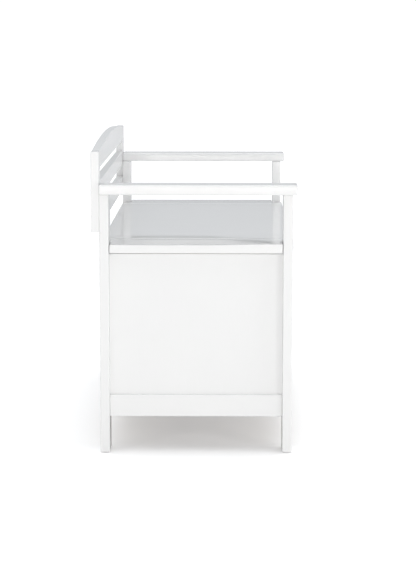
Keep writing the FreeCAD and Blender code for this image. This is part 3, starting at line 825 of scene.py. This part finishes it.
# Shares of the radius, and heights above the tip.
SCREW_POINT = ((0, 0), (0.4, 1.5 * MM), (1, 4 * MM))
HEAD_DEPTH, RIM_LOW, RIM_HIGH, RIM_EASE = 2.2 * MM, 0.35 * MM, 0.1 * MM, 0.25 * MM
CROSS_WIDE, CROSS_NARROW, CROSS_DEPTH = 1.9 * MM, 0.38 * MM, 1.3 * MM
BAR_DEEPER, BAR_HIGHER = 1.02, 1.1
HEAD_PROUD = 0.1 * MM
HINGE_SCREW_LENGTH = 11 * MM
LEAF_SCREWS = (-20 * MM, 0.0, 20 * MM)
HOLDER_SCREWS = (0.12, 0.5, 0.88)
# Degrees: how far the first screw is turned, and each one after it.
HINGE_TURNS, HOLDER_TURNS = (23, 41), (15, 37)
AIM_DOWN = Matrix.Rotation(math.radians(180), 4, "X")


def cross_screw(length):
    """A countersunk screw along -Z with its head at z = 0 and a cross recess.

    The recess is cut by two bars of slightly different height, so that their faces don't coincide.
    """
    point = [(SCREW_RADIUS * share, height - length) for share, height in SCREW_POINT]
    head = [(SCREW_RADIUS, -HEAD_DEPTH), (SCREW_HEAD, -RIM_LOW), (SCREW_HEAD, -RIM_HIGH),
            (SCREW_HEAD - RIM_EASE, 0), (0, 0)]
    screw = lathe(point + head, SCREW_SEGMENTS)
    bars = ((CROSS_WIDE, CROSS_NARROW, CROSS_DEPTH, CUT_BEYOND),
            (CROSS_NARROW, CROSS_WIDE, CROSS_DEPTH * BAR_DEEPER, CUT_BEYOND * BAR_HIGHER))
    for half_x, half_y, depth, above in bars:
        screw = cut_with(screw, box_mesh((-half_x, -half_y, -depth), (half_x, half_y, above)))
    return screw


def screw_matrix(place, aim, turns, number):
    """Where a screw goes, with its cross at an angle of its own."""
    first, step = turns
    spin = Matrix.Rotation(math.radians(first + step * number), 4, "Z")
    return Matrix.Translation(place) @ aim @ spin


def hinge_screws(node, body):
    """Three screws in each leaf, with their heads on its rear face."""
    low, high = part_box(node)
    z = (low.z + high.z) / 2
    matrices = []
    for place in HINGE_PLACES:
        leaf_low, leaf_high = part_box("hinge_fixed_leaf_" + place)
        middle = (leaf_low.x + leaf_high.x) / 2
        for offset in LEAF_SCREWS:
            matrices.append(screw_matrix((middle + offset, high.y + HEAD_PROUD, z), AIM_BACK,
                                         HINGE_TURNS, len(matrices)))
    finish_mesh(copies(cross_screw(HINGE_SCREW_LENGTH), matrices), node + "_detailed", node,
                steel, body)


def upward_screws(node, body, holder_name):
    """Screws whose heads show on the underside of their holders."""
    low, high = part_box(node)
    matrices = []
    for side in SIDES:
        holder_low, holder_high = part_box(holder_name + side)
        x = (holder_low.x + holder_high.x) / 2
        for share in HOLDER_SCREWS:
            y = holder_low.y + share * (holder_high.y - holder_low.y)
            matrices.append(screw_matrix((x, y, low.z - HEAD_PROUD), AIM_DOWN,
                                         HOLDER_TURNS, len(matrices)))
    finish_mesh(copies(cross_screw(high.z - low.z), matrices), node + "_detailed", node,
                steel, body)


# Shares of the radius and of the thickness, from the ground up.
GLIDE_PROFILE = ((0, 0), (0.78, 0), (0.93, 0.15), (1, 0.5), (1, 1), (0, 1))


def foot_glide(node):
    """A plastic disc with an eased lower rim."""
    low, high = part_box(node)
    radius, thick = (high.x - low.x) / 2, high.z - low.z
    profile = [(radius * out, thick * up) for out, up in GLIDE_PROFILE]
    middle = Vector(((low.x + high.x) / 2, (low.y + high.y) / 2, low.z))
    finish_mesh(moved(lathe(profile, DISC_SEGMENTS), Matrix.Translation(middle)), node + "_disc", node,
                glide_plastic, BENCH)


BUMPER_SIDE, BUMPER_DOME = 0.35, 0.65
DOME_STEPS = 6


def lid_bumpers(node):
    """Two soft domes under the lid's front edge."""
    low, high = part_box(node)
    radius, thick = (high.y - low.y) / 2, high.z - low.z
    profile = [(0, 0), (radius, 0), (radius, thick * BUMPER_SIDE)]
    for step in range(1, DOME_STEPS + 1):
        angle = QUARTER * step / DOME_STEPS
        height = thick * (BUMPER_SIDE + BUMPER_DOME * math.sin(angle))
        profile.append((radius * math.cos(angle), height))
    places = [Matrix.Translation((x, (low.y + high.y) / 2, low.z))
              for x in (low.x + radius, high.x - radius)]
    finish_mesh(copies(lathe(profile), places), "lid_bumper_domes", node, bumper_rubber, BENCH)


hinge_screws("hinge_fixed_screws", BENCH)
hinge_screws("hinge_lid_screws", LID)
upward_screws("batten_screws", LID, "lid_batten_")
upward_screws("end_board_screws", BENCH, "side_top_cleat_")
for side in SIDES:
    for end in ENDS:
        foot_glide("foot_glide_%s_%s" % (end, side))
lid_bumpers("lid_bumpers")

# ---------------------------------------------------------------- CAD nodes that stay


def paint(node, material):
    """Give a CAD node that stays a material of this script."""
    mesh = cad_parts[node].data
    mesh.materials.clear()
    mesh.materials.append(material)


for place in HINGE_PLACES:
    for part in ("hinge_fixed_leaf_", "hinge_lid_leaf_", "hinge_pin_"):
        paint(part + place, steel)
for node in ("arm_dowels", "rail_dowels"):
    paint(node, raw_wood[Z])
